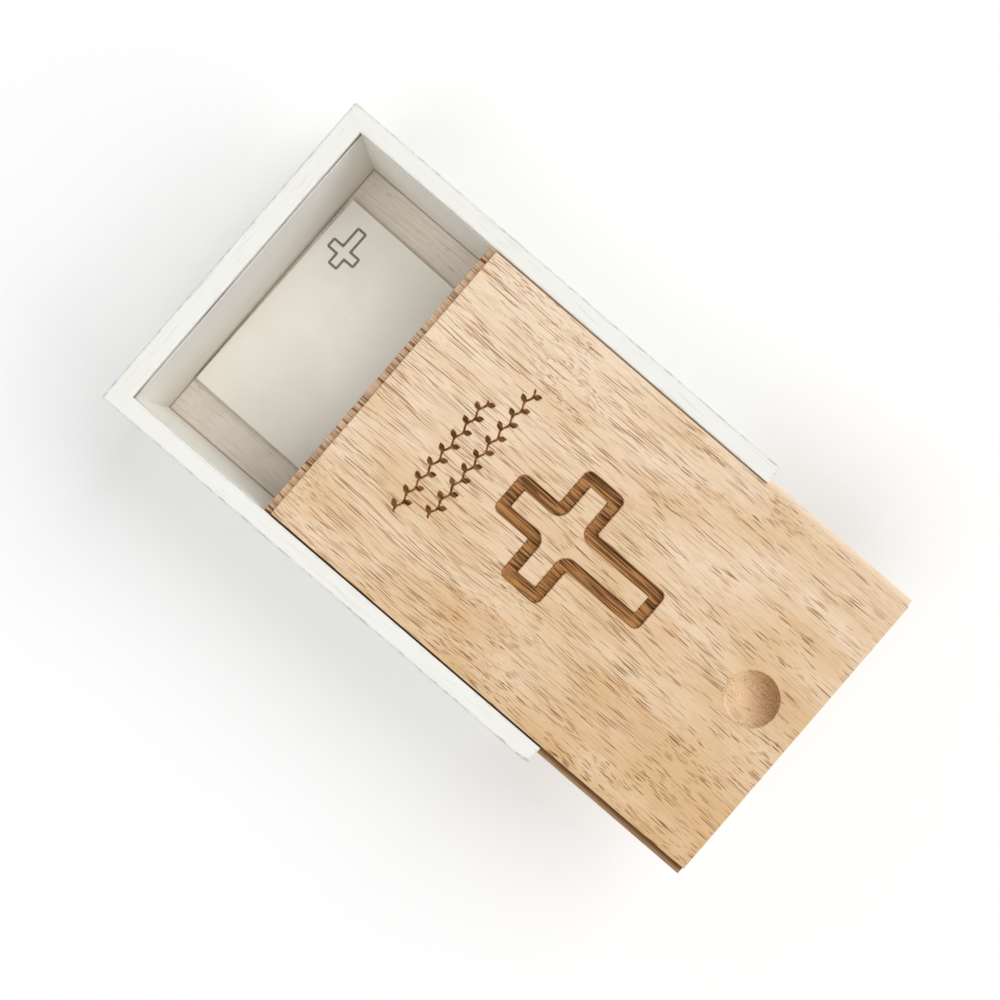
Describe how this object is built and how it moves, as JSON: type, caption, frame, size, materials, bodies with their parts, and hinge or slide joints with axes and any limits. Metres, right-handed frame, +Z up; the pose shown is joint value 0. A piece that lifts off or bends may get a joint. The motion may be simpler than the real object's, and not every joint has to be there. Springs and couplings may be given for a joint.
{
  "type": "prayer box",
  "caption": "Oblong painted wooden box with a natural wooden sliding lid, a finger dish and an outlined cross in the lid, holding a stack of paper cards.",
  "frame": {"origin": "middle of the box's underside, which rests on the table", "axes": "+Z up; +Y along the box towards its closed back end, so the lid is drawn out towards -Y; +X to the right seen from the front"},
  "size_m": [0.132, 0.254, 0.0635],
  "materials": {
    "painted_wood": "thin white paint over open grain, worn at the edges",
    "floor_wood": "thin grey-white wash over open grain",
    "lid_wood": "bare open-grained wood, sanded, with a burnt cross",
    "card_paper": "matt uncoated card with a grey printed outline"
  },
  "bodies": {
    "box": {"left_side_wall": "painted_wood", "right_side_wall": "painted_wood", "back_end_wall": "painted_wood", "front_end_wall": "painted_wood", "floor_panel": "floor_wood"},
    "lid": {"lid_panel": "lid_wood"},
    "card_stack": {"prayer_card_1": "card_paper", "prayer_card_2": "card_paper", "prayer_card_3": "card_paper", "prayer_card_4": "card_paper", "prayer_card_5": "card_paper", "prayer_card_6": "card_paper"}
  },
  "joints": [
    {"name": "lid_slide", "type": "slide", "parent": "box", "child": "lid", "axis": [0, -1, 0], "range_m": [-0.061, 0.114]},
    {"name": "card_lift", "type": "slide", "parent": "box", "child": "card_stack", "axis": [0, 0, 1], "range_m": [0, 0.04]}
  ]
}
